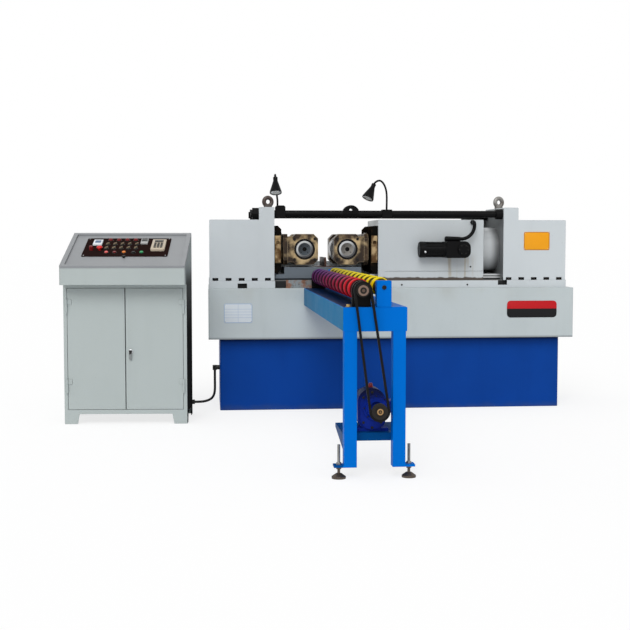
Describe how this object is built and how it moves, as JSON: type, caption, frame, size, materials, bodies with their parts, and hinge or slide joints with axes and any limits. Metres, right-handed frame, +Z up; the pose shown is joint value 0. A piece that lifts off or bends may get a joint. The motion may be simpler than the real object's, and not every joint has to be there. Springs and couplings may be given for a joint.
{
  "type": "thread rolling machine with roller feed stand and control desk",
  "caption": "Hydraulic two-die thread rolling machine: tilting spindle heads on a long bed, a pressing carriage under tie bars, a belt-driven roller feed stand and a control desk.",
  "frame": {"origin": "centre of the machine base's footprint on the floor", "axes": "+X to the operator's right along the bed, -Y towards the operator and the feed stand, +Z up"},
  "size_m": [3.1362, 2.875, 1.471],
  "materials": {
    "machine_paint": "semi-gloss light grey enamel",
    "base_paint": "dark blue enamel",
    "black_steel": "black oxide and black enamel",
    "head_casting": "oily brown casting",
    "dark_casting": "dark oily iron",
    "ground_steel": "ground and turned steel",
    "saddle_paint": "worn grey-blue enamel",
    "rest_steel": "oily brown steel",
    "ram_paint": "light grey enamel",
    "stand_paint": "bright blue enamel",
    "red_rubber": "red polyurethane, purple with oil at the far end",
    "yellow_rubber": "yellow polyurethane",
    "belt_rubber": "black rubber",
    "motor_paint": "dark blue enamel",
    "pulley_iron": "dark iron with a brass coloured hub",
    "zinc_steel": "dull zinc plate",
    "desk_paint": "grey-green enamel",
    "panel_paint": "dark control plate",
    "control_plastic": "coloured lenses, knobs and cases",
    "lens_plastic": "white lens",
    "cable_rubber": "black cable sheath",
    "gland_plastic": "black plastic"
  },
  "bodies": {
    "frame": {"base_pedestal": "base_paint", "bed_casing": "machine_paint", "deck": "machine_paint", "chip_guard": "ground_steel", "left_housing": "machine_paint", "right_housing": "machine_paint", "rear_cover": "machine_paint", "tie_bars": "black_steel", "tie_bar_nuts": "black_steel", "bar_clip": "black_steel", "lamp_clamps": "black_steel", "lamp_necks": "black_steel", "lamp_heads": "black_steel", "lamp_lenses": "lens_plastic", "lifting_eyes": "zinc_steel", "saddle": "saddle_paint", "work_rest": "rest_steel", "ways": "ground_steel", "left_swivel_plate": "dark_casting", "stand_beam": "stand_paint", "stand_legs": "stand_paint", "stand_feet": "zinc_steel", "motor_shelf": "stand_paint", "red_roller_brackets": "black_steel", "yellow_roller_brackets": "stand_paint", "belt": "belt_rubber", "reducer": "motor_paint", "drive_motor": "motor_paint", "desk_sides": "desk_paint", "desk_back": "desk_paint", "desk_floor": "desk_paint", "desk_front": "desk_paint", "door_hinges": "zinc_steel", "console_cheeks": "desk_paint", "console_lip": "desk_paint", "cable": "cable_rubber", "cable_glands": "gland_plastic"},
    "left_head": {"left_yoke": "head_casting", "left_bearings": "head_casting"},
    "left_spindle": {"left_spindle": "ground_steel"},
    "carriage": {"carriage": "machine_paint", "ram": "ram_paint", "feed_gearbox": "black_steel", "feed_motor": "black_steel", "feed_conduit": "black_steel", "right_swivel_plate": "dark_casting"},
    "right_head": {"right_yoke": "head_casting", "right_bearings": "head_casting"},
    "right_spindle": {"right_spindle": "ground_steel"},
    "red_roller": {"red_roller": "ground_steel", "red_roller_rings": "red_rubber"},
    "yellow_roller": {"yellow_roller": "ground_steel", "yellow_roller_rings": "yellow_rubber"},
    "motor_pulley": {"motor_pulley": "pulley_iron"},
    "left_door": {"left_door": "desk_paint"},
    "right_door": {"right_door": "desk_paint", "door_lock": "black_steel"},
    "console_lid": {"console_lid": "desk_paint", "control_panel": "panel_paint", "panel_controls": "control_plastic"}
  },
  "joints": [
    {"name": "left_head_tilt", "type": "hinge", "parent": "frame", "child": "left_head", "pos_m": [-0.697, -0.125, 1.005], "axis": [1, 0, 0], "range_deg": [-3, 3]},
    {"name": "left_spindle_spin", "type": "hinge", "parent": "left_head", "child": "left_spindle", "pos_m": [-0.551, -0.125, 1.005], "axis": [0, 1, 0], "continuous": true},
    {"name": "carriage_slide", "type": "slide", "parent": "frame", "child": "carriage", "axis": [-1, 0, 0], "range_m": [-0.04, 0.035]},
    {"name": "right_head_tilt", "type": "hinge", "parent": "carriage", "child": "right_head", "pos_m": [-0.137, -0.125, 1.005], "axis": [-1, 0, 0], "range_deg": [-3, 3]},
    {"name": "right_spindle_spin", "type": "hinge", "parent": "right_head", "child": "right_spindle", "pos_m": [-0.283, -0.125, 1.005], "axis": [0, 1, 0], "continuous": true},
    {"name": "red_roller_spin", "type": "hinge", "parent": "frame", "child": "red_roller", "pos_m": [-0.475, -1.4, 0.84], "axis": [0, 1, 0], "continuous": true},
    {"name": "motor_pulley_spin", "type": "hinge", "parent": "frame", "child": "motor_pulley", "pos_m": [-0.399, -2.4, 0.305], "axis": [0, 1, 0], "continuous": true},
    {"name": "yellow_roller_spin", "type": "hinge", "parent": "frame", "child": "yellow_roller", "pos_m": [-0.378, -1.4, 0.852], "axis": [0, 1, 0], "continuous": true},
    {"name": "left_door_swing", "type": "hinge", "parent": "frame", "child": "left_door", "pos_m": [-1.96174, -0.77854, 0.435], "axis": [0, 0, -1], "range_deg": [0, 110]},
    {"name": "right_door_swing", "type": "hinge", "parent": "frame", "child": "right_door", "pos_m": [-1.29299, -0.81944, 0.435], "axis": [0, 0, 1], "range_deg": [0, 110]},
    {"name": "console_lid_swing", "type": "hinge", "parent": "frame", "child": "console_lid", "pos_m": [-1.60258, -0.39375, 1.092], "axis": [-0.9981, 0.061, 0], "range_deg": [0, 60]}
  ],
  "couplings": [
    {"joint": "right_spindle_spin", "follows": "left_spindle_spin", "ratio": 1},
    {"joint": "motor_pulley_spin", "follows": "red_roller_spin", "ratio": 0.8333}
  ]
}
